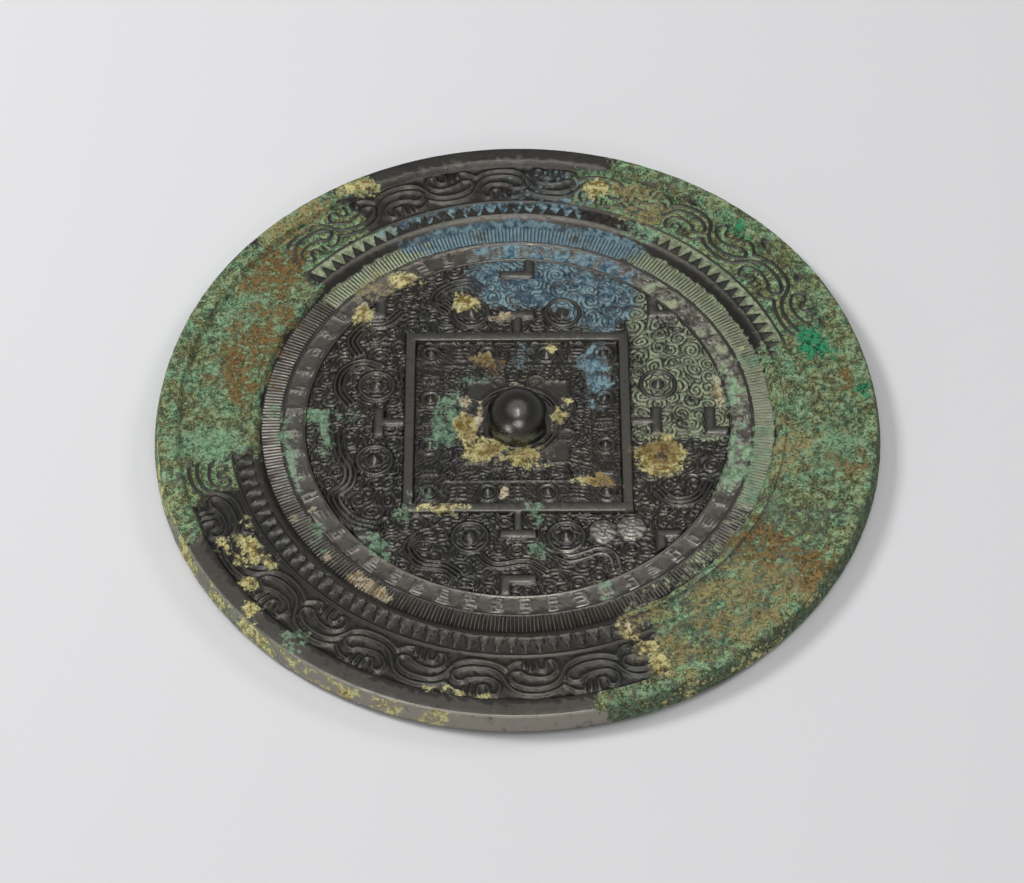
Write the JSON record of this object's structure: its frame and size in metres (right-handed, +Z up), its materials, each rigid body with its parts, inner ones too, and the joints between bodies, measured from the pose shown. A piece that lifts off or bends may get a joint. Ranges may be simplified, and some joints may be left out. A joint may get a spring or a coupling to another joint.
{
  "type": "ancient bronze mirror",
  "caption": "Round cast bronze mirror with a pierced domed knob, a square frame with game-board marks, bosses, rings of teeth and a scrolled rim.",
  "frame": {"origin": "middle of the underside, at its lowest point, where the reflecting face rests", "axes": "+Z up out of the ornamented side, X along the cord hole through the knob, X and Y along the sides of the central square"},
  "size_m": [0.19, 0.19, 0.0129],
  "materials": {
    "bronze": "dark grey-brown cast bronze with a dull lustre, and crusts of green, blue and ochre corrosion"
  },
  "bodies": {
    "root": {"mirror": "bronze"}
  },
  "joints": []
}
